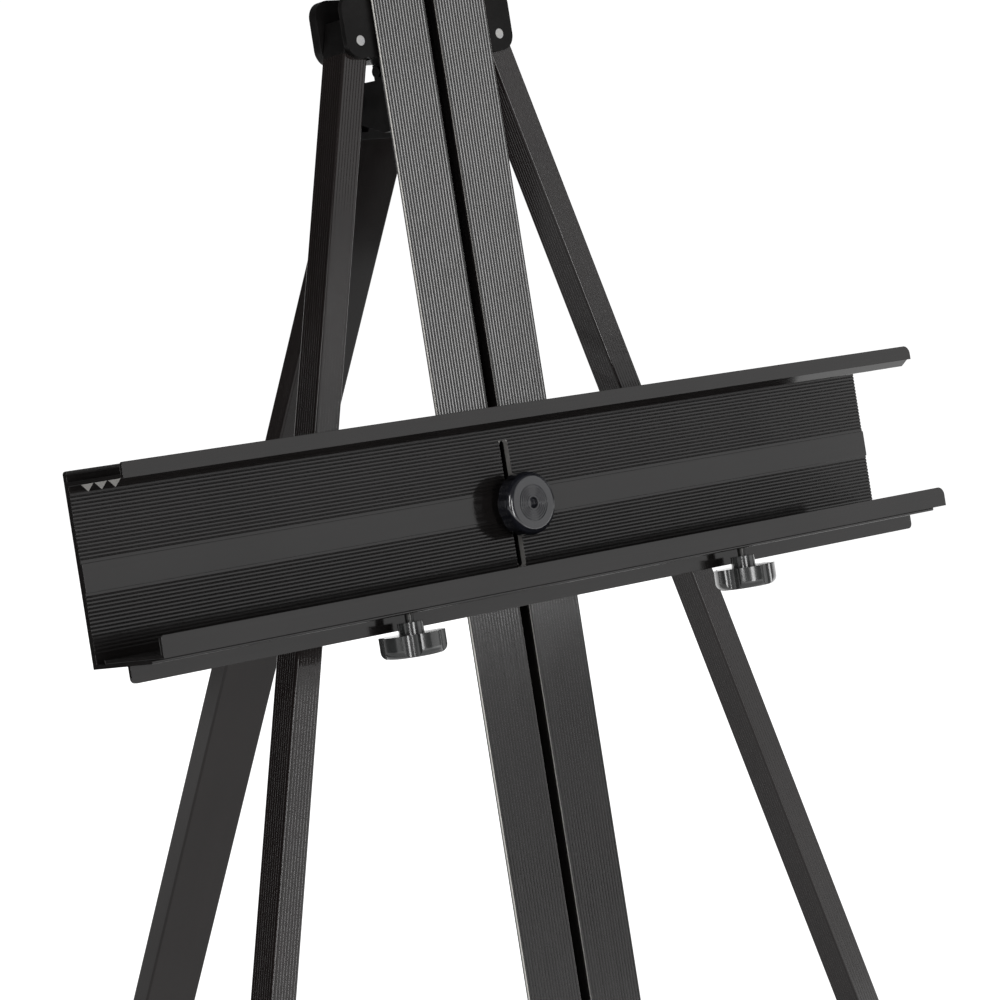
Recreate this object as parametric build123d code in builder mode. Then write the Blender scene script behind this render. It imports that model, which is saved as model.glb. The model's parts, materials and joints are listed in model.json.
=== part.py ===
from build123d import *

import math
import os

# Aluminium display easel: a slotted mast that leans back on two splayed front legs and a rear leg.

os.makedirs("parts", exist_ok=True)

# Pose of the whole easel
lean = 13.37
tray_level = 900.0
base_y = -166.6

# Mast: a ribbed face plate with a slotted box channel behind it
mast_top = 700.0
mast_foot = -440.0
mast_width = 86.5
plate = 2.2
slot = 8.0
box_width = 48.0
box_depth = 14.0
wall = 1.6

# V grooves that leave ribs on the extrusions: each is cut by a square standing on its corner
rib_pitch = 2.2
mast_groove = 0.66
leg_rib_pitch = 2.0
leg_groove = 0.36

# Front legs
splay = 16.77
front_tube = (17.5, 20.0)
front_pivot = (53.6, 16.8, 272.0)

# Rear leg
rear_angle = 33.97
rear_tube = (43.8, 14.2)
rear_pivot = (0.0, 58.1, 243.0)

# Telescoping leg sections, measured down from each pivot
tube_wall = 1.5
slide_gap = 0.2
upper_end = 716.0
lower_start = 560.0
collar_start = 686.0
collar_end = 744.0
lock_level = 730.0
foot_radius = 22.0
foot_height = 42.0

# Tray: a deep ribbed panel with a channel ledge on top and a shelf below
tray_length = 610.0
tray_height = 105.2
tray_bottom = -52.6
panel_back = -0.3
panel_front = -3.9
ledge_reach = 50.4
shelf_reach = 50.0
shelf_thick = 2.2
stiffener_reach = 29.8
rail_reach = 60.9
rail_floor = 2.4
rail_top = 14.3
clamp_level = 47.5
rail_bolt_reach = 43.0
rail_bolts = (-126.0, 137.0)

# Fasteners
pin_radius = 3.0
pin_hole = 3.05
stud_radius = 3.0
knob_bore = 3.05
rail_bolt_radius = 2.5

# Canvas clamp near the top of the mast
top_clamp_level = 560.0

mast = Plane(
    origin=(0, base_y, tray_level),
    x_dir=(1, 0, 0),
    z_dir=(0, math.sin(math.radians(lean)), math.cos(math.radians(lean))),
)


def along(frame, x=0.0, y=0.0, z=0.0):
    """Plane across a frame, its normal along the frame's length."""
    return Plane(frame.from_local_coords((x, y, z)), x_dir=frame.x_dir, z_dir=frame.z_dir)


def facing(frame, x=0.0, y=0.0, z=0.0):
    """Plane of a frame's front face: sketch x to the right, sketch y up the frame."""
    return Plane(frame.from_local_coords((x, y, z)), x_dir=frame.x_dir, z_dir=-frame.y_dir)


def sideways(frame, x=0.0, y=0.0, z=0.0):
    """Plane of a frame's side: sketch x to the back, sketch y up the frame."""
    return Plane(frame.from_local_coords((x, y, z)), x_dir=frame.y_dir, z_dir=frame.x_dir)


def beneath(frame, x=0.0, y=0.0, z=0.0):
    """Plane across a frame whose normal points down the frame."""
    return Plane(frame.from_local_coords((x, y, z)), x_dir=frame.x_dir, z_dir=-frame.z_dir)


def mirrored(point):
    return (-point[0], point[1], point[2])


def splayed(pivot, angle):
    """Frame of a front leg: swung sideways by an angle within the plane of the mast."""
    turn = math.radians(angle)
    return Plane(
        mast.from_local_coords(pivot),
        x_dir=mast.x_dir * math.cos(turn) - mast.z_dir * math.sin(turn),
        z_dir=mast.x_dir * math.sin(turn) + mast.z_dir * math.cos(turn),
    )


def strutted(pivot, angle):
    """Frame of the rear leg: swung back by an angle from the line of the mast."""
    turn = math.radians(angle)
    return Plane(
        mast.from_local_coords(pivot),
        x_dir=mast.x_dir,
        z_dir=mast.z_dir * math.cos(turn) - mast.y_dir * math.sin(turn),
    )


def save(piece, name):
    piece.part.label = name
    export_step(piece.part, f"parts/{name}.step")


left_leg = splayed(mirrored(front_pivot), splay)
right_leg = splayed(front_pivot, -splay)
rear_leg = strutted(rear_pivot, rear_angle)


def reach(leg):
    """Distance down a leg to the centre of its domed foot, which rests on the floor."""
    return (leg.origin.Z - foot_radius) / leg.z_dir.Z


# ---------------------------------------------------------------- mast

rib_rows = 17
rib_centre = (mast_width / 2 + slot / 2) / 2

with BuildPart() as mast_extrusion:
    with BuildSketch(along(mast, z=mast_foot)):
        with Locations((0, plate / 2)):
            RectangleRounded(mast_width, plate, 0.9)
        with Locations((0, box_depth / 2)):
            Rectangle(box_width, box_depth)
        with Locations((0, (plate + box_depth - wall) / 2)):
            Rectangle(box_width - 2 * wall, box_depth - wall - plate, mode=Mode.SUBTRACT)
        with Locations((0, plate / 2)):
            Rectangle(slot, plate + 0.4, mode=Mode.SUBTRACT)
        for bar in (-1, 1):
            with Locations((bar * rib_centre, 0)):
                with GridLocations(rib_pitch, 1, rib_rows, 1):
                    Rectangle(mast_groove, mast_groove, rotation=45, mode=Mode.SUBTRACT)
    extrude(amount=mast_top - mast_foot)


def mast_cap(level, direction):
    """Moulded cap on a mast end, with a plug that fills the box channel."""
    outer = along(mast, z=level) if direction > 0 else beneath(mast, z=level)
    flip = 1 if direction > 0 else -1
    with BuildPart() as cap:
        with BuildSketch(outer):
            with Locations((0, flip * (box_depth - 0.8) / 2)):
                RectangleRounded(mast_width + 1.4, box_depth + 1.6, 2.0)
        extrude(amount=4.0)
        fillet(cap.faces().sort_by(SortBy.AREA)[-1].edges(), 1.2)
        with BuildSketch(outer):
            with Locations((0, flip * (plate + box_depth - wall) / 2)):
                Rectangle(box_width - 2 * wall, box_depth - wall - plate)
        extrude(amount=-12.0)
    return cap


mast_cap_top = mast_cap(mast_top, 1)
mast_cap_bottom = mast_cap(mast_foot, -1)

# ---------------------------------------------------------------- head

head_bottom = 262.0
head_top = 300.0
head_front = 3.1
head_back = 33.6
head_half = 64.0
web_half = 41.4
leg_bay_front = 6.4
leg_bay_back = 27.2

with BuildPart() as head_bracket:
    with BuildSketch(facing(mast, y=head_back, z=(head_bottom + head_top) / 2)):
        RectangleRounded(2 * head_half, head_top - head_bottom, 10.0)
    extrude(amount=head_back - head_front)
    with BuildSketch(along(mast, z=head_bottom - 1)):
        with Locations((0, (head_front + box_depth) / 2)):
            Rectangle(box_width, box_depth - head_front, mode=Mode.ADD)
        for side_sign in (-1, 1):
            with Locations((side_sign * (web_half + 15), (leg_bay_front + leg_bay_back) / 2)):
                Rectangle(30, leg_bay_back - leg_bay_front)
    extrude(amount=head_top - head_bottom + 2, mode=Mode.SUBTRACT)
    with BuildSketch(facing(mast, y=head_back + 1)):
        with Locations((front_pivot[0], front_pivot[2]), (-front_pivot[0], front_pivot[2])):
            Circle(pin_radius)
    extrude(amount=head_back - head_front + 2, mode=Mode.SUBTRACT)

stem_half = 21.0
stem_back = 35.0
tongue_half = 10.5
ear_radius = 11.0

with BuildPart() as rear_hinge_bracket:
    with BuildSketch(sideways(mast, x=-stem_half)):
        with BuildLine():
            Polyline(
                (box_depth, 222),
                (box_depth, head_bottom),
                (stem_back, head_bottom),
                (stem_back, 253),
                (rear_pivot[1], rear_pivot[2] + ear_radius),
                (rear_pivot[1], rear_pivot[2] - ear_radius),
                (34, 222),
                close=True,
            )
        make_face()
        with Locations((rear_pivot[1], rear_pivot[2])):
            Circle(ear_radius)
    extrude(amount=2 * stem_half)
    with BuildSketch(sideways(mast, x=-tongue_half - 0.4)):
        with Locations((rear_pivot[1] + 4, rear_pivot[2])):
            Rectangle(34, 60)
    extrude(amount=2 * tongue_half + 0.8, mode=Mode.SUBTRACT)
    with BuildSketch(sideways(mast, x=-stem_half - 1)):
        with Locations((rear_pivot[1], rear_pivot[2])):
            Circle(pin_radius)
        with Locations((30.5, 257.5)):
            Circle(2.0)
    extrude(amount=2 * stem_half + 2, mode=Mode.SUBTRACT)

with BuildPart() as head_screws:
    with BuildSketch(facing(mast, y=head_back)):
        with Locations((-15, 270), (15, 270), (-15, 291), (15, 291)):
            Circle(4.5)
    extrude(amount=-2.6)
    fillet(head_screws.edges().filter_by(GeomType.CIRCLE).group_by(Axis(mast.origin, mast.y_dir))[-1], 1.2)
    with BuildSketch(facing(mast, y=head_back + 2.6)):
        with Locations((-15, 270), (15, 270), (-15, 291), (15, 291)):
            RegularPolygon(1.6, 6)
    extrude(amount=1.4, mode=Mode.SUBTRACT)

with BuildPart() as bracket_rivet:
    with BuildSketch(sideways(mast, x=-stem_half, y=30.5, z=257.5)):
        Circle(2.0)
    extrude(amount=2 * stem_half)
    with BuildSketch(sideways(mast, x=-stem_half, y=30.5, z=257.5)):
        Circle(3.4)
    extrude(amount=-2.0)
    with BuildSketch(sideways(mast, x=stem_half, y=30.5, z=257.5)):
        Circle(3.4)
    extrude(amount=2.0)


def front_pin(pivot):
    """Headed pin through the head bracket and one front leg."""
    with BuildPart() as pin:
        with BuildSketch(facing(mast, pivot[0], head_back, pivot[2])):
            Circle(pin_radius)
        extrude(amount=head_back - head_front)
        with BuildSketch(facing(mast, pivot[0], head_back + 2.4, pivot[2])):
            Circle(5.5)
        extrude(amount=2.4)
        fillet(pin.edges().filter_by(GeomType.CIRCLE).sort_by(Axis(mast.origin, mast.y_dir))[-1], 1.0)
    return pin


left_pivot_pin = front_pin(mirrored(front_pivot))
right_pivot_pin = front_pin(front_pivot)

with BuildPart() as rear_pivot_pin:
    with BuildSketch(sideways(mast, -stem_half, rear_pivot[1], rear_pivot[2])):
        Circle(pin_radius)
    extrude(amount=2 * stem_half)
    with BuildSketch(sideways(mast, -stem_half - 2.2, rear_pivot[1], rear_pivot[2])):
        Circle(5.5)
    extrude(amount=2.2)
    with BuildSketch(sideways(mast, stem_half, rear_pivot[1], rear_pivot[2])):
        Circle(5.5)
    extrude(amount=2.2)

# ---------------------------------------------------------------- legs


def tube(frame, size, thickness, start, end, ribs=(0, 0), corner=1.4):
    """Rectangular tube down a leg, with lengthwise ribs on its faces if asked for."""
    width, depth = size
    with BuildPart() as piece:
        with BuildSketch(along(frame, z=-end)):
            RectangleRounded(width, depth, corner)
            Rectangle(width - 2 * thickness, depth - 2 * thickness, mode=Mode.SUBTRACT)
            if ribs[0]:
                with GridLocations(leg_rib_pitch, depth, ribs[0], 2):
                    Rectangle(leg_groove, leg_groove, rotation=45, mode=Mode.SUBTRACT)
                with GridLocations(width, leg_rib_pitch, 2, ribs[1]):
                    Rectangle(leg_groove, leg_groove, rotation=45, mode=Mode.SUBTRACT)
        extrude(amount=end - start)
    return piece


def inside(size, thickness, gap):
    """Size of a part that slides inside a tube with a gap all round."""
    return (size[0] - 2 * thickness - 2 * gap, size[1] - 2 * thickness - 2 * gap)


plug_end = 9.0
rear_plug_end = 20.0

left_upper_tube = tube(left_leg, front_tube, tube_wall, plug_end, upper_end, (7, 8))
right_upper_tube = tube(right_leg, front_tube, tube_wall, plug_end, upper_end, (7, 8))
rear_upper_tube = tube(rear_leg, rear_tube, tube_wall, rear_plug_end, upper_end)


def front_plug(leg):
    """Moulded end of a front leg that carries the pivot pin."""
    width, depth = front_tube
    inner = inside(front_tube, tube_wall, 0.0)
    with BuildPart() as plug:
        with BuildSketch(along(leg, z=-plug_end)):
            RectangleRounded(width, depth, 1.2)
        extrude(amount=plug_end + 12.0)
        with BuildSketch(along(leg, z=-plug_end)):
            Rectangle(inner[0], inner[1])
        extrude(amount=-26.0)
        with BuildSketch(facing(leg, y=depth)):
            Circle(pin_hole)
        extrude(amount=2 * depth, mode=Mode.SUBTRACT)
    return plug


left_leg_plug = front_plug(left_leg)
right_leg_plug = front_plug(right_leg)

with BuildPart() as rear_leg_plug:
    with BuildSketch(along(rear_leg, z=-rear_plug_end)):
        RectangleRounded(rear_tube[0], rear_tube[1], 1.2)
    extrude(amount=5.0)
    with BuildSketch(sideways(rear_leg, x=-tongue_half)):
        Circle(7.1)
        with Locations((0, -(rear_plug_end - 4) / 2)):
            Rectangle(rear_tube[1], rear_plug_end - 4)
    extrude(amount=2 * tongue_half)
    with BuildSketch(along(rear_leg, z=-rear_plug_end)):
        Rectangle(rear_tube[0] - 2 * tube_wall, rear_tube[1] - 2 * tube_wall)
    extrude(amount=-26.0)
    with BuildSketch(sideways(rear_leg, x=-tongue_half - 1)):
        Circle(pin_hole)
    extrude(amount=2 * tongue_half + 2, mode=Mode.SUBTRACT)


def lower_tube(leg, size):
    return tube(leg, inside(size, tube_wall, slide_gap), 1.3, lower_start, reach(leg) - 6.0, corner=1.0)


left_lower_tube = lower_tube(left_leg, front_tube)
right_lower_tube = lower_tube(right_leg, front_tube)
rear_lower_tube = lower_tube(rear_leg, rear_tube)


def guide_plug(leg, size):
    """Moulded guide in the hidden top end of a sliding tube."""
    outer = inside(size, tube_wall, slide_gap)
    with BuildPart() as plug:
        with BuildSketch(along(leg, z=-lower_start)):
            RectangleRounded(outer[0], outer[1], 1.0)
        extrude(amount=5.0)
        with BuildSketch(along(leg, z=-lower_start)):
            Rectangle(outer[0] - 2.6, outer[1] - 2.6)
        extrude(amount=-18.0)
    return plug


left_guide_plug = guide_plug(left_leg, front_tube)
right_guide_plug = guide_plug(right_leg, front_tube)
rear_guide_plug = guide_plug(rear_leg, rear_tube)


def lock_collar(leg, size, knob_plane):
    """Collar clamped on the end of an upper tube, bored for the lock stud."""
    width, depth = size
    bore = inside(size, tube_wall, 0.0)
    with BuildPart() as collar:
        with BuildSketch(along(leg, z=-collar_end)):
            RectangleRounded(width + 8, depth + 8, 4.0)
        extrude(amount=collar_end - collar_start)
        fillet(collar.faces().sort_by(Axis(leg.origin, leg.z_dir))[-1].edges(), 1.5)
        fillet(collar.faces().sort_by(Axis(leg.origin, leg.z_dir))[0].edges(), 1.5)
        with BuildSketch(along(leg, z=-upper_end)):
            RectangleRounded(width, depth, 1.4)
        extrude(amount=upper_end, mode=Mode.SUBTRACT)
        with BuildSketch(along(leg, z=-collar_end - 1)):
            Rectangle(bore[0], bore[1])
        extrude(amount=collar_end, mode=Mode.SUBTRACT)
        with BuildSketch(knob_plane):
            Circle(9.0)
        extrude(amount=4.0)
        with BuildSketch(knob_plane):
            Circle(knob_bore)
        extrude(amount=12.0, both=True, mode=Mode.SUBTRACT)
    return collar


def lobed_knob(frame, radius, height, lobes, hub_radius, hub_height, hole=0.0):
    """Lobed hand knob: hub at the frame's plane, rounded grip above it."""
    lobe_radius = radius * 0.40
    with BuildPart() as knob:
        with BuildSketch(frame):
            Circle(hub_radius)
        extrude(amount=hub_height + 1.0)
        with BuildSketch(frame.offset(hub_height)):
            Circle(radius * 0.78)
            with PolarLocations(radius - lobe_radius, lobes):
                Circle(lobe_radius)
        extrude(amount=height)
        outer = knob.faces().sort_by(Axis(frame.origin, frame.z_dir))[-1]
        fillet(outer.edges(), min(3.2, height * 0.3))
        if hole:
            with BuildSketch(frame.offset(-1)):
                Circle(hole)
            extrude(amount=hub_height + height - 2.0, mode=Mode.SUBTRACT)
    return knob


def stud(frame, length, radius=stud_radius):
    with BuildPart() as rod:
        with BuildSketch(frame):
            Circle(radius)
        extrude(amount=length)
        chamfer(rod.edges().filter_by(GeomType.CIRCLE), 0.4)
    return rod


side_face = front_tube[0] / 2 + 4.0
rear_face = rear_tube[1] / 2 + 4.0
left_lock_plane = Plane(
    left_leg.from_local_coords((-side_face, 0, -lock_level)), x_dir=left_leg.y_dir, z_dir=-left_leg.x_dir
)
right_lock_plane = sideways(right_leg, side_face, 0, -lock_level)
rear_lock_plane = Plane(
    rear_leg.from_local_coords((0, rear_face, -lock_level)), x_dir=rear_leg.x_dir, z_dir=rear_leg.y_dir
)

left_lock_collar = lock_collar(left_leg, front_tube, left_lock_plane)
right_lock_collar = lock_collar(right_leg, front_tube, right_lock_plane)
rear_lock_collar = lock_collar(rear_leg, rear_tube, rear_lock_plane)

lock_stud_length = 15.0
left_lock_stud = stud(left_lock_plane.offset(-side_face + front_tube[0] / 2 - 1.1), lock_stud_length)
right_lock_stud = stud(right_lock_plane.offset(-side_face + front_tube[0] / 2 - 1.1), lock_stud_length)
rear_lock_stud = stud(rear_lock_plane.offset(-rear_face + rear_tube[1] / 2 - 1.1), lock_stud_length)

left_lock_knob = lobed_knob(left_lock_plane.offset(4.4), 15.0, 10.0, 5, 7.0, 3.0, stud_radius)
right_lock_knob = lobed_knob(right_lock_plane.offset(4.4), 15.0, 10.0, 5, 7.0, 3.0, stud_radius)
rear_lock_knob = lobed_knob(rear_lock_plane.offset(4.4), 15.0, 10.0, 5, 7.0, 3.0, stud_radius)


def round_foot(leg):
    """Rubber tip with a domed sole and grip rings, pushed over a front leg tube."""
    centre = -reach(leg)
    bore = inside(front_tube, tube_wall, slide_gap)
    with BuildPart() as foot:
        with BuildSketch(sideways(leg, z=centre)):
            with BuildLine():
                Line((0, -21.909), (0, foot_height))
                Line((0, foot_height), (13.0, foot_height))
                Polyline((13.0, foot_height), (13.6, 3), (15.0, 0), (15.0, -3.6), (14.0, -3.6), (14.0, -5.0))
                Polyline((14.0, -5.0), (15.0, -5.0), (15.0, -8.6), (14.0, -8.6), (14.0, -10.0), (15.0, -10.0))
                Line((15.0, -10.0), (15.0, -16.093))
                ThreePointArc((15.0, -16.093), (9.0, -20.075), (2.0, -21.909))
                Line((2.0, -21.909), (0, -21.909))
            make_face()
        revolve(axis=Axis(leg.origin, leg.z_dir))
        with BuildSketch(along(leg, z=centre + 6.0)):
            RectangleRounded(bore[0], bore[1], 1.0)
        extrude(amount=foot_height, mode=Mode.SUBTRACT)
    return foot


left_foot = round_foot(left_leg)
right_foot = round_foot(right_leg)

with BuildPart() as rear_foot:
    with BuildSketch(sideways(rear_leg, x=-25.0, z=-reach(rear_leg))):
        with BuildLine():
            Polyline((-10.0, -19.6), (-10.0, foot_height), (10.0, foot_height), (10.0, -19.6))
            ThreePointArc((10.0, -19.6), (0, -foot_radius), (-10.0, -19.6))
        make_face()
    extrude(amount=50.0)
    with BuildSketch(along(rear_leg, z=-reach(rear_leg) + 6.0)):
        RectangleRounded(
            rear_tube[0] - 2 * tube_wall - 2 * slide_gap, rear_tube[1] - 2 * tube_wall - 2 * slide_gap, 1.0
        )
    extrude(amount=foot_height, mode=Mode.SUBTRACT)

# ---------------------------------------------------------------- tray

tray = along(mast, z=tray_bottom)
left_end = -tray_length / 2
ridge_depth = 4.0
ridge_width = 11.4
ridge_reach = (17.4, 29.8, 42.2)
ledge_bottom = 97.0
ledge_top = 99.0
band_low = 40.3
band_high = 55.9
band_rise = 0.8
panel_rib_pitch = 2.07
lower_ribs = 15
upper_ribs = 17
panel_groove = 0.74
right_corner = 5.2
left_corner = 1.8


def ahead(distance):
    """Depth in the tray frame of a point that lies ahead of the panel's front face."""
    return panel_front - distance


with BuildPart() as tray_extrusion:
    with BuildSketch(sideways(tray, x=left_end)):
        with BuildLine():
            Polyline(
                (panel_back, 0),
                (panel_back, tray_height),
                (panel_front + 0.6, tray_height),
                (panel_front + 0.6, ledge_top),
                (ahead(ledge_reach - 2.0), ledge_top),
                (ahead(ledge_reach - 2.0), tray_height),
                (ahead(ledge_reach), tray_height),
                (ahead(ledge_reach), ledge_bottom - 0.4),
                (ahead(ledge_reach - 2.0), ledge_bottom),
                (panel_front, ledge_bottom),
                (panel_front, shelf_thick),
                (ahead(shelf_reach - shelf_thick / 2), shelf_thick),
            )
            ThreePointArc(
                (ahead(shelf_reach - shelf_thick / 2), shelf_thick),
                (ahead(shelf_reach), shelf_thick / 2),
                (ahead(shelf_reach - shelf_thick / 2), 0),
            )
            Polyline(
                (ahead(shelf_reach - shelf_thick / 2), 0),
                (ahead(stiffener_reach), 0),
                (ahead(stiffener_reach), -9.35),
                (ahead(stiffener_reach - 2.0), -9.35),
                (ahead(stiffener_reach - 2.0), 0),
                (panel_back, 0),
            )
        make_face()
        with Locations((panel_front - band_rise / 2, (band_low + band_high) / 2)):
            Rectangle(band_rise, band_high - band_low)
        for step in ridge_reach:
            with BuildLine():
                Polyline(
                    (ahead(step - ridge_width / 2), ledge_bottom),
                    (ahead(step), ledge_bottom - ridge_depth),
                    (ahead(step + ridge_width / 2), ledge_bottom),
                    close=True,
                )
            make_face()
        with Locations((panel_front, (8.3 + band_low - 1.2) / 2)):
            with GridLocations(1, panel_rib_pitch, 1, lower_ribs):
                Rectangle(panel_groove, panel_groove, rotation=45, mode=Mode.SUBTRACT)
        with Locations((panel_front, (band_high + 1.4 + 92.5) / 2)):
            with GridLocations(1, panel_rib_pitch, 1, upper_ribs):
                Rectangle(panel_groove, panel_groove, rotation=45, mode=Mode.SUBTRACT)
    extrude(amount=tray_length)
    with BuildSketch(facing(tray, y=panel_front - 5)):
        with Locations((0, (11.3 + 86.2) / 2)):
            SlotOverall(86.2 - 11.3, 6.5, rotation=90)
    extrude(amount=-10.0, mode=Mode.SUBTRACT)
    with BuildSketch(along(tray, z=-1)):
        with Locations(*[(x, ahead(rail_bolt_reach)) for x in rail_bolts]):
            Circle(rail_bolt_radius + 0.3)
    extrude(amount=4.0, mode=Mode.SUBTRACT)
    across = Axis(tray.origin, tray.y_dir)
    end_posts = tray_extrusion.edges().filter_by(across).filter_by(
        lambda edge: abs(abs(edge.center().X) - tray_length / 2) < 0.01
    )
    top_corners = end_posts.filter_by(lambda edge: tray.to_local_coords(edge.center()).Z > tray_height - 0.5)
    fillet(top_corners.filter_by(lambda edge: edge.center().X > 0), right_corner)
    top_corners = tray_extrusion.edges().filter_by(across).filter_by(
        lambda edge: edge.center().X < left_end + 0.01
        and tray.to_local_coords(edge.center()).Z > tray_height - 0.5
    )
    fillet(top_corners, left_corner)
    hanging_corners = tray_extrusion.edges().filter_by(across).filter_by(
        lambda edge: abs(abs(edge.center().X) - tray_length / 2) < 0.01
        and tray.to_local_coords(edge.center()).Z < -9.0
    )
    fillet(hanging_corners, 3.0)

rail_back = 8.0

with BuildPart() as rail_extrusion:
    with BuildSketch(sideways(tray, x=left_end)):
        with BuildLine():
            Polyline(
                (ahead(rail_back), rail_floor),
                (ahead(rail_back), rail_floor + 2.0),
                (ahead(rail_reach - 2.0), rail_floor + 2.0),
                (ahead(rail_reach - 2.0), rail_top),
                (ahead(rail_reach), rail_top),
                (ahead(rail_reach), rail_floor),
                close=True,
            )
        make_face()
    extrude(amount=tray_length)
    with BuildSketch(along(tray, z=rail_floor - 1)):
        with Locations(*[(x, ahead(34.0)) for x in rail_bolts]):
            SlotOverall(40.0, 2 * rail_bolt_radius + 0.6, rotation=90)
    extrude(amount=4.0, mode=Mode.SUBTRACT)
    lip_corners = rail_extrusion.edges().filter_by(Axis(tray.origin, tray.y_dir)).filter_by(
        lambda edge: tray.to_local_coords(edge.center()).Z > rail_top - 0.1
    ).sort_by(Axis.X)
    fillet(lip_corners[-1], right_corner)
    lip_corners = rail_extrusion.edges().filter_by(Axis(tray.origin, tray.y_dir)).filter_by(
        lambda edge: tray.to_local_coords(edge.center()).Z > rail_top - 0.1
    ).sort_by(Axis.X)
    fillet(lip_corners[0], left_corner)


def rail_bolt(x):
    """Carriage bolt through the rail slot and the shelf, threaded below for its knob."""
    with BuildPart() as bolt:
        with BuildSketch(along(tray, x, ahead(rail_bolt_reach), rail_floor + 2.3)):
            Circle(6.0)
        extrude(amount=2.6)
        fillet(bolt.edges().filter_by(GeomType.CIRCLE).sort_by(Axis(tray.origin, tray.z_dir))[-1], 2.0)
        with BuildSketch(beneath(tray, x, ahead(rail_bolt_reach), rail_floor + 2.3)):
            Circle(rail_bolt_radius)
        extrude(amount=20.0)
    return bolt


rail_gap = 4.8
rail_hub = 11.3
rail_grip = 12.5
rail_grip_radius = 18.6
flutes = 5
flute_radius = 7.0
flute_circle = 22.8


def rail_knob(x, first_flute):
    """Fluted knob, its hub a little below the shelf on the bolt, that clamps the rail."""
    frame = beneath(tray, x, ahead(rail_bolt_reach))
    downward = Axis(frame.origin, frame.z_dir)
    with BuildPart() as knob:
        with BuildSketch(frame.offset(rail_hub)):
            Circle(rail_grip_radius)
        extrude(amount=rail_grip)
        fillet(knob.edges().filter_by(GeomType.CIRCLE).sort_by(downward)[-1], 4.6)
        with BuildSketch(frame.offset(rail_hub)):
            with PolarLocations(flute_circle, flutes, start_angle=first_flute):
                Circle(flute_radius)
        extrude(amount=rail_grip, mode=Mode.SUBTRACT)
        with BuildSketch(frame.offset(rail_gap)):
            Circle(7.2)
        extrude(amount=rail_hub - rail_gap + 1.0)
        with BuildSketch(frame.offset(rail_gap - 1)):
            Circle(rail_bolt_radius + 0.05)
        extrude(amount=15.2, mode=Mode.SUBTRACT)
    return knob


left_rail_bolt = rail_bolt(rail_bolts[0])
right_rail_bolt = rail_bolt(rail_bolts[1])
left_rail_knob = rail_knob(rail_bolts[0], 131.0)
right_rail_knob = rail_knob(rail_bolts[1], 160.0)

# ---------------------------------------------------------------- tray clamp


def slot_nut(level):
    """Sliding nut inside the mast's box channel."""
    with BuildPart() as nut:
        with BuildSketch(facing(mast, y=6.8, z=level)):
            RectangleRounded(26.0, 22.0, 2.0)
        extrude(amount=4.3)
        with BuildSketch(facing(mast, y=6.8, z=level)):
            Circle(stud_radius)
        extrude(amount=6.0, both=True, mode=Mode.SUBTRACT)
    return nut


clamp_z = tray_bottom + clamp_level
tray_nut = slot_nut(clamp_z)
tray_stud = stud(facing(mast, y=7.8, z=clamp_z), 25.0)

with BuildPart() as swivel_collar:
    with BuildSketch(facing(mast, y=-0.6, z=clamp_z)):
        RectangleRounded(6.3, 12.0, 1.0)
    extrude(amount=4.4)
    with BuildSketch(facing(mast, y=-5.0, z=clamp_z)):
        Circle(10.0)
    extrude(amount=1.4)
    with BuildSketch(facing(mast, y=1, z=clamp_z)):
        Circle(stud_radius + 0.06)
    extrude(amount=12.0, mode=Mode.SUBTRACT)

grip_depth = 10.4
knob_rings = (10.6, 9.2, 7.8, 6.4, 5.0)


def face_knob(level, back, depth, radius):
    """Round hand knob: a boss behind, a faintly scalloped grip, fine rings and a recess in its face."""
    plane = facing(mast, y=back, z=level)
    outward = Axis(plane.origin, plane.z_dir)
    with BuildPart() as knob:
        with BuildSketch(plane):
            Circle(9.0)
        extrude(amount=depth - grip_depth + 1.0)
        with BuildSketch(plane.offset(depth - grip_depth)):
            Circle(radius)
        extrude(amount=grip_depth)
        fillet(knob.edges().filter_by(GeomType.CIRCLE).sort_by(outward)[-1], 4.0)
        with BuildSketch(plane.offset(depth)):
            with PolarLocations(radius + 7.4, 9):
                Circle(8.0)
        extrude(amount=-grip_depth, mode=Mode.SUBTRACT)
        for ring in knob_rings:
            with BuildSketch(plane.offset(depth)):
                Circle(ring)
                Circle(ring - 0.55, mode=Mode.SUBTRACT)
            extrude(amount=-0.5, mode=Mode.SUBTRACT)
        with BuildSketch(plane.offset(depth)):
            Circle(3.4)
        extrude(amount=-3.0, mode=Mode.SUBTRACT)
        with BuildSketch(plane.offset(-1)):
            Circle(knob_bore)
        extrude(amount=depth - 3.6, mode=Mode.SUBTRACT)
    return knob


tray_knob = face_knob(clamp_z, -6.7, 15.4, 18.6)

# ---------------------------------------------------------------- canvas clamp

jaw_level = top_clamp_level
with BuildPart() as canvas_clamp:
    with BuildSketch(sideways(mast, x=-30.0)):
        with BuildLine():
            Polyline(
                (-0.3, jaw_level + 18),
                (-9.0, jaw_level + 18),
                (-9.0, jaw_level - 19.0),
                (-50.0, jaw_level - 19.0),
                (-50.0, jaw_level - 36),
                (-46.8, jaw_level - 36),
                (-46.8, jaw_level - 22.0),
                (-0.3, jaw_level - 22.0),
                close=True,
            )
        make_face()
    extrude(amount=60.0)
    with BuildSketch(facing(mast, y=1, z=jaw_level)):
        Circle(3.2)
    extrude(amount=14.0, mode=Mode.SUBTRACT)
    fillet(
        canvas_clamp.edges().filter_by(Axis(mast.origin, mast.y_dir)).filter_by(
            lambda edge: mast.to_local_coords(edge.center()).Z > jaw_level
        ),
        4.0,
    )

with BuildPart() as clamp_pad:
    with BuildSketch(facing(mast, y=-46.8, z=jaw_level - 29.5)):
        RectangleRounded(54.0, 10.0, 1.5)
    extrude(amount=-2.0)

clamp_nut = slot_nut(top_clamp_level)
clamp_stud = stud(facing(mast, y=7.8, z=top_clamp_level), 27.0)
clamp_knob = face_knob(top_clamp_level, -9.3, 15.0, 16.5)

# ---------------------------------------------------------------- files

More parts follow.
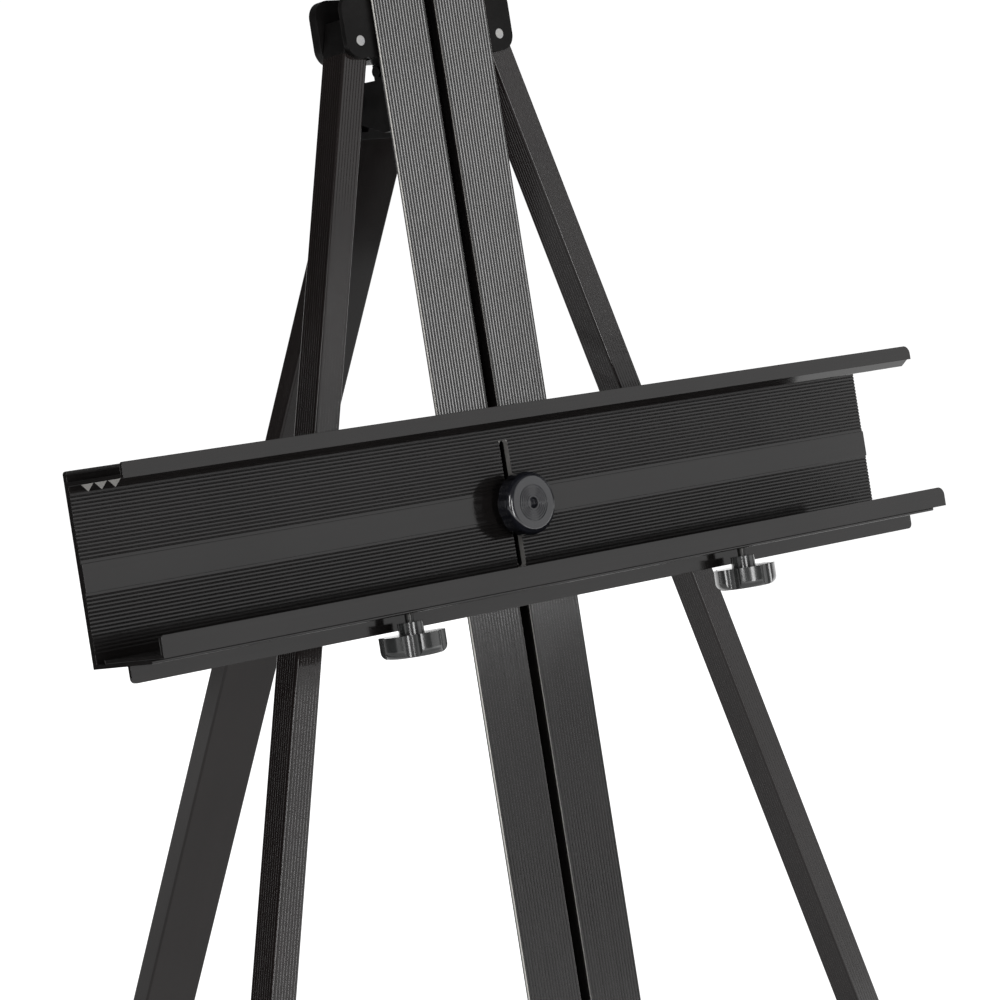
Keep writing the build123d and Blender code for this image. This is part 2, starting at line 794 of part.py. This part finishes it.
save(mast_extrusion, "mast_extrusion")
save(mast_cap_top, "mast_cap_top")
save(mast_cap_bottom, "mast_cap_bottom")
save(head_bracket, "head_bracket")
save(rear_hinge_bracket, "rear_hinge_bracket")
save(head_screws, "head_screws")
save(bracket_rivet, "bracket_rivet")
save(left_pivot_pin, "left_pivot_pin")
save(right_pivot_pin, "right_pivot_pin")
save(rear_pivot_pin, "rear_pivot_pin")
save(left_upper_tube, "left_upper_tube")
save(right_upper_tube, "right_upper_tube")
save(rear_upper_tube, "rear_upper_tube")
save(left_leg_plug, "left_leg_plug")
save(right_leg_plug, "right_leg_plug")
save(rear_leg_plug, "rear_leg_plug")
save(left_lower_tube, "left_lower_tube")
save(right_lower_tube, "right_lower_tube")
save(rear_lower_tube, "rear_lower_tube")
save(left_guide_plug, "left_guide_plug")
save(right_guide_plug, "right_guide_plug")
save(rear_guide_plug, "rear_guide_plug")
save(left_lock_collar, "left_lock_collar")
save(right_lock_collar, "right_lock_collar")
save(rear_lock_collar, "rear_lock_collar")
save(left_lock_stud, "left_lock_stud")
save(right_lock_stud, "right_lock_stud")
save(rear_lock_stud, "rear_lock_stud")
save(left_lock_knob, "left_lock_knob")
save(right_lock_knob, "right_lock_knob")
save(rear_lock_knob, "rear_lock_knob")
save(left_foot, "left_foot")
save(right_foot, "right_foot")
save(rear_foot, "rear_foot")
save(tray_extrusion, "tray_extrusion")
save(rail_extrusion, "rail_extrusion")
save(left_rail_bolt, "left_rail_bolt")
save(right_rail_bolt, "right_rail_bolt")
save(left_rail_knob, "left_rail_knob")
save(right_rail_knob, "right_rail_knob")
save(tray_nut, "tray_nut")
save(tray_stud, "tray_stud")
save(swivel_collar, "swivel_collar")
save(tray_knob, "tray_knob")
save(canvas_clamp, "canvas_clamp")
save(clamp_pad, "clamp_pad")
save(clamp_nut, "clamp_nut")
save(clamp_stud, "clamp_stud")
save(clamp_knob, "clamp_knob")
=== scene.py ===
import json
import math

import bpy
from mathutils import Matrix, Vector

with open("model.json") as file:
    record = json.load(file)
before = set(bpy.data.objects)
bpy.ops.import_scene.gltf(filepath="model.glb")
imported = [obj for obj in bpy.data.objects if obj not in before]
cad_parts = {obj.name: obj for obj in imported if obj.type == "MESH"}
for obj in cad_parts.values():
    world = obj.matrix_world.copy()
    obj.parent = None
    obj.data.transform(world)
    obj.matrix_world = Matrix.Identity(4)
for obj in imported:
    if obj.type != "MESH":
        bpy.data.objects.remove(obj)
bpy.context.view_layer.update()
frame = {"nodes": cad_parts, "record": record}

# ---------------------------------------------------------------- directions and sizes

LEAN = math.radians(13.37)
SPLAY = math.radians(16.77)
REAR_ANGLE = math.radians(33.97)

ACROSS = Vector((1, 0, 0))
INTO = Vector((0, math.cos(LEAN), -math.sin(LEAN)))
UP_MAST = Vector((0, math.sin(LEAN), math.cos(LEAN)))
TRAY_CENTRE = Vector((0, -0.1666, 0.9))
DOWN_LEFT = -UP_MAST * math.cos(SPLAY) - ACROSS * math.sin(SPLAY)
DOWN_RIGHT = -UP_MAST * math.cos(SPLAY) + ACROSS * math.sin(SPLAY)
DOWN_REAR = -UP_MAST * math.cos(REAR_ANGLE) + INTO * math.sin(REAR_ANGLE)

# Parallel to no extrusion, so that it gives each of them a sideways direction.
SLANTED = Vector((0.31, 0.92, 0.24))

# The tray's cut edges that show unanodised metal, and the mast's front corners painted pale as a
# highlight, in metres from TRAY_CENTRE, which lies on the mast's face.
HALF_TRAY = 0.30485
RIDGE_LEVELS = (0.0401, 0.0443)
RIDGE_DEPTHS = (-0.0518, -0.0156)
TRAY_SLOT_HALF = 0.0033
TRAY_SLOT_LEVELS = (-0.0415, 0.0338)
TRAY_SLOT_DEPTHS = (-0.00385, -0.00035)
MAST_EDGE = 0.04272
MAST_EDGE_DEPTHS = (-0.0005, 0.00085)
MAST_SLOT_HALF = 0.00403
MAST_SLOT_DEPTHS = (-0.0005, 0.0007)

# ---------------------------------------------------------------- camera

CAMERA_AT = Vector((-1.3195, -1.6148, 1.2771))
CAMERA_LOOK = Vector((0.6597, 0.7272, -0.1898))
FOCAL_LENGTH = 123.09
SENSOR_WIDTH = 36.0

camera_data = bpy.data.cameras.new("camera")
camera_data.lens = FOCAL_LENGTH
camera_data.sensor_width = SENSOR_WIDTH
camera_data.clip_end = 200.0
camera = bpy.data.objects.new("camera", camera_data)
camera.location = CAMERA_AT
camera.rotation_mode = "QUATERNION"
camera.rotation_quaternion = CAMERA_LOOK.to_track_quat("-Z", "Y")
bpy.context.collection.objects.link(camera)
bpy.context.scene.camera = camera
bpy.context.scene.view_settings.view_transform = "Standard"

# ---------------------------------------------------------------- node helpers

SOCKETS = {
    "base_color": "Base Color",
    "roughness": "Roughness",
    "metallic": "Metallic",
    "specular": "Specular IOR Level",
    "coat": "Coat Weight",
    "coat_roughness": "Coat Roughness",
}
MAP_SOCKETS = ("From Min", "From Max", "To Min", "To Max")


class Shader:
    """A material under construction: its nodes work on object coordinates, in metres."""

    def __init__(self, name):
        self.material = bpy.data.materials.new(name)
        self.material.use_nodes = True
        self.tree = self.material.node_tree
        self.bsdf = self.tree.nodes["Principled BSDF"]
        self.place = self.node("ShaderNodeTexCoord").outputs["Object"]

    def node(self, kind, **settings):
        made = self.tree.nodes.new(kind)
        for key, value in settings.items():
            setattr(made, key, value)
        return made

    def plug(self, source, target):
        self.tree.links.new(source, target)

    def set(self, **values):
        for key, value in values.items():
            self.bsdf.inputs[SOCKETS[key]].default_value = value

    def math(self, operation, a, b):
        made = self.node("ShaderNodeMath", operation=operation)
        for socket, value in zip(made.inputs, (a, b)):
            if isinstance(value, (int, float)):
                socket.default_value = value
            else:
                self.plug(value, socket)
        return made.outputs[0]

    def measure(self, direction, scale):
        """Distance along a direction, times a scale."""
        made = self.node("ShaderNodeVectorMath", operation="DOT_PRODUCT")
        self.plug(self.place, made.inputs[0])
        made.inputs[1].default_value = Vector(direction) * scale
        return made.outputs["Value"]

    def within(self, direction, limits):
        """1 where a point lies between two distances from the tray's centre, else 0."""
        low, high = limits
        offset = Vector(direction).dot(TRAY_CENTRE)
        distance = self.measure(direction, 1.0)
        return self.math("MULTIPLY", self.math("GREATER_THAN", distance, offset + low),
                         self.math("LESS_THAN", distance, offset + high))

    def streaked(self, run, across_scale, run_scale):
        """Coordinates stretched along the run of an extrusion."""
        side = Vector(run).cross(SLANTED).normalized()
        other = Vector(run).cross(side)
        made = self.node("ShaderNodeCombineXYZ")
        for socket, (direction, scale) in zip(
            made.inputs, ((side, across_scale), (other, across_scale), (run, run_scale))
        ):
            self.plug(self.measure(direction, scale), socket)
        return made.outputs[0]

    def noise(self, where, scale, detail=3.0, roughness=0.5):
        made = self.node("ShaderNodeTexNoise")
        self.plug(where, made.inputs["Vector"])
        made.inputs["Scale"].default_value = scale
        made.inputs["Detail"].default_value = detail
        made.inputs["Roughness"].default_value = roughness
        return made.outputs["Fac"]

    def remap(self, value, limits, results):
        """A value between two limits, carried over to lie between two results."""
        made = self.node("ShaderNodeMapRange")
        self.plug(value, made.inputs["Value"])
        for socket, number in zip(MAP_SOCKETS, (*limits, *results)):
            made.inputs[socket].default_value = number
        return made.outputs["Result"]

    def blend(self, factor, first, second):
        made = self.node("ShaderNodeMix", data_type="RGBA")
        self.plug(factor, made.inputs["Factor"])
        for socket, colour in zip((made.inputs["A"], made.inputs["B"]), (first, second)):
            if isinstance(colour, tuple):
                socket.default_value = (*colour, 1.0)
            else:
                self.plug(colour, socket)
        return made.outputs["Result"]

    def bump(self, height, strength, distance, normal=None):
        made = self.node("ShaderNodeBump")
        made.inputs["Strength"].default_value = strength
        made.inputs["Distance"].default_value = distance
        self.plug(height, made.inputs["Height"])
        if normal is not None:
            self.plug(normal, made.inputs["Normal"])
        return made.outputs["Normal"]

    def round_edges(self, radius):
        made = self.node("ShaderNodeBevel", samples=4)
        made.inputs["Radius"].default_value = radius
        return made.outputs["Normal"]


# ---------------------------------------------------------------- finishes

TRAY_BLACK = (0.0085, 0.0076, 0.0074)
LEG_BLACK = (0.0100, 0.0076, 0.0072)
BRACKET_BLACK = (0.0050, 0.0046, 0.0045)
KNOB_BLACK = (0.0085, 0.009, 0.0125)
RAIL_KNOB_BLACK = (0.016, 0.017, 0.017)
RUBBER_BLACK = (0.016, 0.016, 0.016)
RUBBER_DUST = (0.07, 0.068, 0.063)
ZINC_DARK = (0.46, 0.46, 0.47)
ZINC_LIGHT = (0.66, 0.65, 0.62)
# The mast's pale edge colours are a painted highlight; the tray's are saw-cut, unanodised metal.
MAST_EDGE_HIGHLIGHT = ((0.40, 0.39, 0.37), (0.62, 0.61, 0.58))
TRAY_CUT = ((0.25, 0.24, 0.23), (0.46, 0.45, 0.43))
# Roughness and metallic of the pale metal: saw-cut on the tray, a painted highlight on the mast.
BARE_AND_HIGHLIGHT_ROUGHNESS = 0.42
BARE_AND_HIGHLIGHT_METALLIC = 0.25
FULL = (0.0, 1.0)

# Metres: the depth of surface relief, and the radius that catches light on an edge.
FINE_RELIEF = 0.0002
GRAIN_RELIEF = 0.0004
EXTRUSION_EDGE = 0.0004
MOULDED_EDGE = 0.0005
RUBBER_EDGE = 0.0006
PLATED_EDGE = 0.0003

# How far the die lines take an extrusion's roughness to either side.
STREAK = 0.03


def anodised(name, run, base=TRAY_BLACK, roughness=0.10):
    """Black anodised aluminium with faint die lines along the extrusion."""
    s = Shader(name)
    along = s.streaked(run, across_scale=900.0, run_scale=3.0)
    lines = s.noise(along, scale=1.0, detail=4.0, roughness=0.6)
    cloud = s.noise(s.place, scale=14.0, detail=4.0)
    specks = s.noise(s.place, scale=900.0, detail=2.0)
    smudge = s.noise(s.place, scale=38.0, detail=5.0, roughness=0.65)
    lighter = tuple(c * 1.5 + 0.001 for c in base)
    tone = s.math("ADD", s.math("MULTIPLY", lines, 0.5), s.math("MULTIPLY", cloud, 0.5))
    s.plug(s.blend(s.remap(tone, (0.35, 0.68), FULL), base, lighter), s.bsdf.inputs["Base Color"])
    gloss = s.math("ADD", s.remap(lines, (0.3, 0.7), (roughness - STREAK, roughness + STREAK)),
                   s.remap(smudge, (0.5, 0.8), (0.0, 0.06)))
    s.plug(gloss, s.bsdf.inputs["Roughness"])
    rounded = s.round_edges(EXTRUSION_EDGE)
    fine = s.bump(lines, 0.06, FINE_RELIEF, rounded)
    s.plug(s.bump(specks, 0.03, FINE_RELIEF, fine), s.bsdf.inputs["Normal"])
    s.set(metallic=0.0, specular=0.5, coat=0.1, coat_roughness=0.12)
    return s


def bare_metal_and_highlight(s, pale_mask, dark, light):
    """Pale metal where the mask is 1, over the finish that the shader already has: saw-cut, unanodised
    metal on the tray, and a painted highlight along the mast's front corners.
    """
    pale_flecks = s.noise(s.place, scale=1600.0)
    metal = s.blend(s.remap(pale_flecks, (0.3, 0.7), FULL), dark, light)
    colour = s.bsdf.inputs["Base Color"]
    s.plug(s.blend(pale_mask, colour.links[0].from_socket, metal), colour)
    covered = s.math("SUBTRACT", 1.0, pale_mask)
    for socket, value in (("Roughness", BARE_AND_HIGHLIGHT_ROUGHNESS), ("Metallic", BARE_AND_HIGHLIGHT_METALLIC)):
        target = s.bsdf.inputs[socket]
        before = target.links[0].from_socket if target.links else target.default_value
        kept = s.math("MULTIPLY", covered, before)
        s.plug(s.math("ADD", kept, s.math("MULTIPLY", pale_mask, value)), target)


def tray_cuts(s):
    """Mask of the ends of the ledge's ridges and of the walls of the tray's slot."""
    ends = s.math("SUBTRACT", 1.0, s.within(ACROSS, (-HALF_TRAY, HALF_TRAY)))
    ridges = s.math("MULTIPLY", s.within(UP_MAST, RIDGE_LEVELS), s.within(INTO, RIDGE_DEPTHS))
    slot_width = s.within(ACROSS, (-TRAY_SLOT_HALF, TRAY_SLOT_HALF))
    slot = s.math("MULTIPLY", slot_width, s.within(UP_MAST, TRAY_SLOT_LEVELS))
    walls = s.math("MULTIPLY", slot, s.within(INTO, TRAY_SLOT_DEPTHS))
    return s.math("MAXIMUM", s.math("MULTIPLY", ends, ridges), walls)


def mast_edge_highlights(s):
    """Mask of the front corners of the mast's plate and of its slot, where pale metal is a painted
    highlight.
    """
    outer = s.math("SUBTRACT", 1.0, s.within(ACROSS, (-MAST_EDGE, MAST_EDGE)))
    corners = s.math("MULTIPLY", outer, s.within(INTO, MAST_EDGE_DEPTHS))
    slot_width = s.within(ACROSS, (-MAST_SLOT_HALF, MAST_SLOT_HALF))
    slot = s.math("MULTIPLY", slot_width, s.within(INTO, MAST_SLOT_DEPTHS))
    return s.math("MAXIMUM", corners, slot)


def moulded(name, base, roughness, grain, grain_size, coat=0.0, specular=0.5):
    """Injection moulded plastic with a fine grain and slight handling marks."""
    s = Shader(name)
    pebbles = s.noise(s.place, scale=1.0 / grain_size)
    marks = s.noise(s.place, scale=45.0, detail=5.0, roughness=0.7)
    lighter = tuple(c * 1.6 + 0.003 for c in base)
    s.plug(s.blend(s.remap(marks, (0.4, 0.7), FULL), base, lighter), s.bsdf.inputs["Base Color"])
    gloss = s.remap(marks, (0.35, 0.75), (roughness - 0.03, roughness + 0.08))
    s.plug(gloss, s.bsdf.inputs["Roughness"])
    s.plug(s.bump(pebbles, grain, GRAIN_RELIEF, s.round_edges(MOULDED_EDGE)), s.bsdf.inputs["Normal"])
    s.set(specular=specular, coat=coat, coat_roughness=0.14)
    return s.material


def rubber(name):
    """Dark rubber with dust in its pores."""
    s = Shader(name)
    pebbles = s.noise(s.place, scale=1400.0, detail=4.0)
    dust = s.noise(s.place, scale=60.0, detail=5.0, roughness=0.7)
    dusty = s.remap(dust, (0.42, 0.75), (0.0, 0.7))
    s.plug(s.blend(dusty, RUBBER_BLACK, RUBBER_DUST), s.bsdf.inputs["Base Color"])
    s.plug(s.remap(dust, (0.3, 0.7), (0.62, 0.85)), s.bsdf.inputs["Roughness"])
    s.plug(s.bump(pebbles, 0.35, GRAIN_RELIEF, s.round_edges(RUBBER_EDGE)), s.bsdf.inputs["Normal"])
    return s.material


def zinc(name, light=1.0):
    """Zinc plate with fine crystals; light below 1 is a darker plate."""
    s = Shader(name)
    crystals = s.noise(s.place, scale=260.0, detail=5.0, roughness=0.6)
    dark, pale = (tuple(c * light for c in tone) for tone in (ZINC_DARK, ZINC_LIGHT))
    s.plug(s.blend(s.remap(crystals, (0.35, 0.7), FULL), dark, pale), s.bsdf.inputs["Base Color"])
    s.plug(s.remap(crystals, (0.3, 0.7), (0.24, 0.42)), s.bsdf.inputs["Roughness"])
    s.plug(s.bump(crystals, 0.12, FINE_RELIEF, s.round_edges(PLATED_EDGE)), s.bsdf.inputs["Normal"])
    s.set(metallic=1.0)
    return s.material


mast_finish = anodised("mast_anodised", UP_MAST, roughness=0.11)
# Painted highlight: pale metal along the mast's front corners and slot edges.
bare_metal_and_highlight(mast_finish, mast_edge_highlights(mast_finish), *MAST_EDGE_HIGHLIGHT)
tray_finish = anodised("tray_anodised", ACROSS, roughness=0.10)
bare_metal_and_highlight(tray_finish, tray_cuts(tray_finish), *TRAY_CUT)

finishes = {
    "mast": mast_finish.material,
    "tray": tray_finish.material,
    "rail": anodised("rail_anodised", ACROSS, roughness=0.10).material,
    "left": anodised("left_leg_anodised", DOWN_LEFT, LEG_BLACK, roughness=0.09).material,
    "right": anodised("right_leg_anodised", DOWN_RIGHT, LEG_BLACK, roughness=0.09).material,
    "rear": anodised("rear_leg_anodised", DOWN_REAR, LEG_BLACK, roughness=0.18).material,
    "knob": moulded("satin_knob_plastic", KNOB_BLACK, roughness=0.15, grain=0.03,
                    grain_size=0.0012, coat=0.9),
    "rail_knob": moulded("rail_knob_plastic", RAIL_KNOB_BLACK, roughness=0.24, grain=0.04,
                         grain_size=0.0012, coat=1.0),
    "bracket": moulded("satin_bracket_plastic", BRACKET_BLACK, roughness=0.38, grain=0.22,
                       grain_size=0.0009, specular=0.15),
    "rubber": rubber("foot_rubber"),
    "zinc": zinc("zinc_plate"),
    # Zinc plate darkened to a tenth, for the rail bolts under the tray's shelf.
    "dark_zinc": zinc("darkened_zinc_plate", light=0.10),
}

chosen = {
    "mast_extrusion": "mast", "tray_extrusion": "tray", "rail_extrusion": "rail",
    "left_upper_tube": "left", "left_lower_tube": "left", "right_upper_tube": "right",
    "right_lower_tube": "right", "rear_upper_tube": "rear", "rear_lower_tube": "rear",
    "left_rail_knob": "rail_knob", "right_rail_knob": "rail_knob",
    "left_rail_bolt": "dark_zinc", "right_rail_bolt": "dark_zinc",
}
slots = {part["node"]: part["material_slot"] for part in frame["record"]["subparts"]}
by_slot = {"knob_plastic": "knob", "bracket_plastic": "bracket", "rubber": "rubber", "zinc_steel": "zinc"}

for node, piece in frame["nodes"].items():
    finish = chosen.get(node) or by_slot[slots[node]]
    for slot in piece.material_slots:
        slot.material = finishes[finish]

# ---------------------------------------------------------------- studio

WHITE = (1.0, 1.0, 1.0, 1.0)
FLOOR_COLOUR = (0.86, 0.86, 0.86, 1.0)
FLAG_COLOUR = (0.01, 0.01, 0.01, 1.0)
MATT = 0.9
FLOOR_REACH = 40
FLOOR_REACH_BEHIND = 60

# The floor's glow, from its least to its most, and the distances from the origin over which it grows.
GLOW = (0.10, 0.95)
GLOW_GROWS_AROUND = (1.9, 3.9)
GLOW_GROWS_BEHIND = (0.35, 1.2)
TOWARDS_BACKDROP = (0.67, 0.74, 0.0)

AIR_AS_LIGHT = 0.12
AIR_AS_SEEN = 1.0

TRAY_AIM = (0, -0.15, 0.95)
UPPER_MAST_AIM = (0, -0.15, 1.2)
MIDDLE_AIM = (0, 0, 0.9)


def card(name, corners, material):
    mesh = bpy.data.meshes.new(name)
    mesh.from_pydata(corners, [], [(0, 1, 2, 3)])
    mesh.materials.append(material)
    made = bpy.data.objects.new(name, mesh)
    bpy.context.collection.objects.link(made)
    return made


def glowing_floor():
    """Pale floor that grows brighter away from the easel and towards the backdrop."""
    s = Shader("floor_paint")
    s.set(base_color=FLOOR_COLOUR, roughness=MATT)
    s.bsdf.inputs["Emission Color"].default_value = WHITE
    length = s.node("ShaderNodeVectorMath", operation="LENGTH")
    s.plug(s.place, length.inputs[0])
    around = s.remap(length.outputs["Value"], GLOW_GROWS_AROUND, GLOW)
    behind = s.remap(s.measure(TOWARDS_BACKDROP, 1.0), GLOW_GROWS_BEHIND, GLOW)
    s.plug(s.math("MAXIMUM", around, behind), s.bsdf.inputs["Emission Strength"])
    return s.material


def flag_cloth():
    s = Shader("flag_cloth")
    s.set(base_color=FLAG_COLOUR, roughness=MATT)
    return s.material


def softbox(name, at, aim, size, watts):
    data = bpy.data.lights.new(name, "AREA")
    data.shape = "RECTANGLE"
    data.size, data.size_y = size
    data.energy = watts
    light = bpy.data.objects.new(name, data)
    light.location = at
    light.rotation_mode = "QUATERNION"
    light.rotation_quaternion = (Vector(aim) - Vector(at)).to_track_quat("-Z", "Y")
    bpy.context.collection.objects.link(light)


floor_corners = [
    (-FLOOR_REACH, -FLOOR_REACH, 0), (FLOOR_REACH, -FLOOR_REACH, 0),
    (FLOOR_REACH, FLOOR_REACH_BEHIND, 0), (-FLOOR_REACH, FLOOR_REACH_BEHIND, 0),
]
card("floor", floor_corners, glowing_floor())

softbox("key", at=(2.45, -2.85, 1.45), aim=TRAY_AIM, size=(2.4, 2.6), watts=16.0)
# Mirrored towards the camera by the right walls of the mast's V grooves.
softbox("camera_strip", at=(-2.38, -2.13, 2.1), aim=UPPER_MAST_AIM, size=(0.42, 1.9), watts=27.5)
softbox("front_strip", at=(-0.75, -3.4, 1.35), aim=TRAY_AIM, size=(0.7, 1.9), watts=34.0)
softbox("top", at=(0.6, 0.2, 4.4), aim=MIDDLE_AIM, size=(2.5, 2.5), watts=14.0)
softbox("back_right", at=(2.6, 2.8, 1.8), aim=MIDDLE_AIM, size=(1.6, 2.0), watts=16.0)

# A dark card that is seen only in reflections: it darkens what the left-facing sides mirror.
FLAG_FRONT = (-3.4, 0.2)
FLAG_BACK = (-1.2, 3.6)
FLAG_HEIGHT = 2.2
flag_corners = [
    (*FLAG_FRONT, 0.0), (*FLAG_BACK, 0.0), (*FLAG_BACK, FLAG_HEIGHT), (*FLAG_FRONT, FLAG_HEIGHT),
]
flag = card("dark_flag", flag_corners, flag_cloth())
flag.visible_camera = False
flag.visible_shadow = False
flag.visible_diffuse = False

# Dim as a light, white where the camera sees it directly, like the photograph's background.
world = bpy.data.worlds.new("studio_air")
world.use_nodes = True
air = world.node_tree.nodes["Background"]
air.inputs["Color"].default_value = WHITE
rays = world.node_tree.nodes.new("ShaderNodeLightPath")
level = world.node_tree.nodes.new("ShaderNodeMapRange")
world.node_tree.links.new(rays.outputs["Is Camera Ray"], level.inputs["Value"])
level.inputs["To Min"].default_value = AIR_AS_LIGHT
level.inputs["To Max"].default_value = AIR_AS_SEEN
world.node_tree.links.new(level.outputs["Result"], air.inputs["Strength"])
bpy.context.scene.world = world
